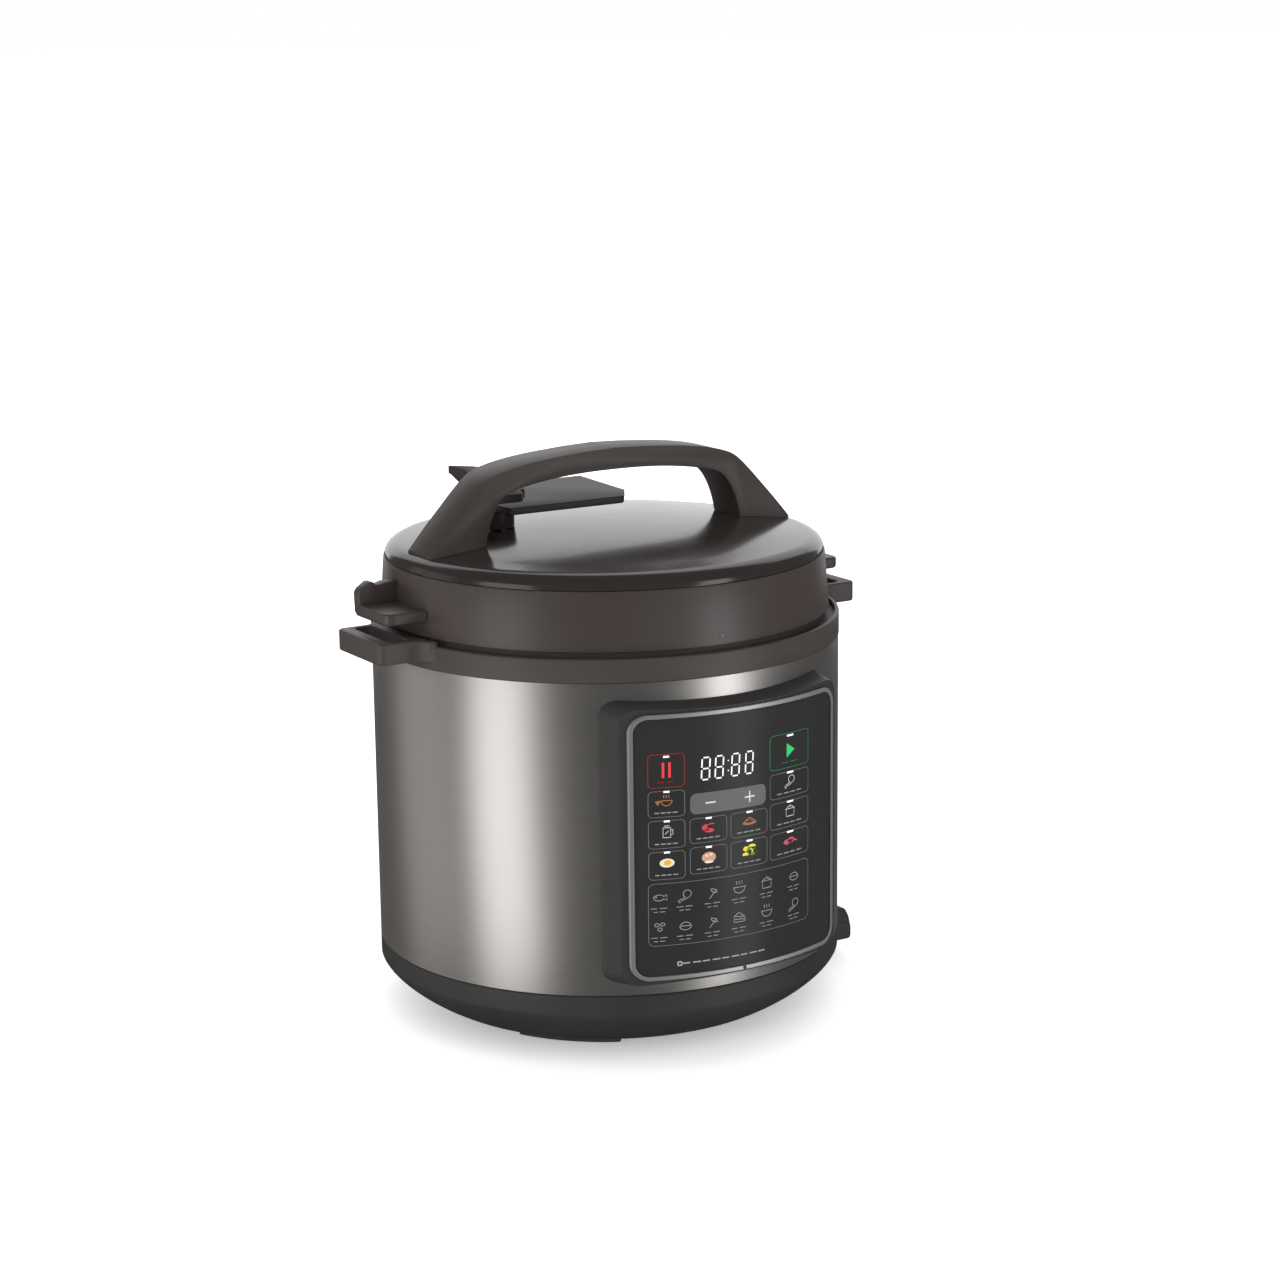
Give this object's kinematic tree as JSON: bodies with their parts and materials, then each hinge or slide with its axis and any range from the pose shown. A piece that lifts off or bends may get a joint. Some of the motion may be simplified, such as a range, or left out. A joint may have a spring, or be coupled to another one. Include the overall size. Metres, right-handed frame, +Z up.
{
  "type": "electric pressure cooker",
  "caption": "Electric pressure cooker: brushed-steel body, turn-to-lock domed lid with an arched handle and steam-release lever, side grips, curved touch panel and a lift-out pot.",
  "frame": {"origin": "on the body's vertical axis, on the surface that the feet stand on, with the lid closed", "axes": "+Z up; -Y towards the control panel; +X towards the power inlet, at the right when the panel is faced"},
  "size_m": [0.3172, 0.3024, 0.3255],
  "materials": {
    "brushed_steel": "horizontally brushed",
    "inner_steel": "satin, drawn",
    "cast_aluminium": "cast and turned",
    "brass": "plain",
    "satin_black_plastic": "satin, moulded",
    "gloss_black_plastic": "high gloss",
    "silver_trim": "silver lacquer",
    "printed_overlay": "gloss, back-printed",
    "foot_rubber": "matte",
    "silicone": "translucent white",
    "smoked_plastic": "smoked, clear",
    "circuit_board": "solder resist",
    "white_plastic": "moulded"
  },
  "bodies": {
    "base": {"base_housing": "satin_black_plastic", "base_plate": "inner_steel", "base_screw_1": "inner_steel", "base_screw_2": "inner_steel", "base_screw_3": "inner_steel", "base_screw_4": "inner_steel", "foot_1": "foot_rubber", "foot_2": "foot_rubber", "foot_3": "foot_rubber", "foot_4": "foot_rubber", "outer_shell": "brushed_steel", "upper_ring": "satin_black_plastic", "locking_liner": "inner_steel", "heating_plate": "cast_aluminium", "sensor_spring": "inner_steel", "sensor_bracket": "inner_steel", "pressure_switch": "white_plastic", "thermal_fuse": "white_plastic", "heater_terminal_1": "inner_steel", "heater_terminal_2": "inner_steel", "power_board": "circuit_board", "panel_housing": "satin_black_plastic", "panel_bezel": "silver_trim", "panel_overlay": "printed_overlay", "control_board": "circuit_board", "display_module": "white_plastic", "inlet_housing": "satin_black_plastic", "inlet_socket": "satin_black_plastic", "inlet_pin_line": "brass", "inlet_pin_earth": "brass", "inlet_pin_neutral": "brass", "cup_bracket": "satin_black_plastic"},
    "sensor": {"temperature_sensor": "cast_aluminium"},
    "pot": {"inner_pot": "inner_steel"},
    "seal": {"sealing_ring": "silicone", "sealing_ring_rack": "inner_steel"},
    "lid": {"lid_dome": "gloss_black_plastic", "lid_skirt": "satin_black_plastic", "lid_handle": "satin_black_plastic", "handle_strip": "satin_black_plastic", "handle_screw_1": "inner_steel", "handle_screw_2": "inner_steel", "handle_screw_3": "inner_steel", "handle_screw_4": "inner_steel", "lid_centre_screw": "inner_steel", "inner_lid": "inner_steel", "exhaust_pipe": "inner_steel", "anti_block_shield": "inner_steel"},
    "lever": {"steam_release_lever": "satin_black_plastic", "valve_weight": "inner_steel"},
    "float": {"float_valve": "inner_steel", "float_seal": "silicone"},
    "cup": {"condensation_cup": "smoked_plastic"}
  },
  "joints": [
    {"name": "lid_lift", "type": "slide", "parent": "base", "child": "seal", "axis": [0, 0, 1], "range_m": [0, 0.33]},
    {"name": "lid_turn", "type": "hinge", "parent": "seal", "child": "lid", "pos_m": [0, 0, 0.25], "axis": [0, 0, 1], "range_deg": [0, 25]},
    {"name": "pot_lift", "type": "slide", "parent": "base", "child": "pot", "axis": [0, 0, 1], "range_m": [0, 0.198]},
    {"name": "steam_release", "type": "hinge", "parent": "lid", "child": "lever", "pos_m": [-0.058, 0.027, 0.285], "axis": [0, 0, 1], "range_deg": [0, 30]},
    {"name": "float_rise", "type": "slide", "parent": "lid", "child": "float", "axis": [0, 0, 1], "range_m": [0, 0.004]},
    {"name": "sensor_press", "type": "slide", "parent": "base", "child": "sensor", "axis": [0, 0, -1], "range_m": [0, 0.0018], "stiffness_N_per_m": 300, "deforming": ["sensor_spring"]},
    {"name": "cup_pull", "type": "slide", "parent": "base", "child": "cup", "axis": [0, 1, 0], "range_m": [0, 0.04]}
  ],
  "couplings": [
    {"joint": "pot_lift", "follows": "lid_lift", "ratio": 0.6}
  ]
}
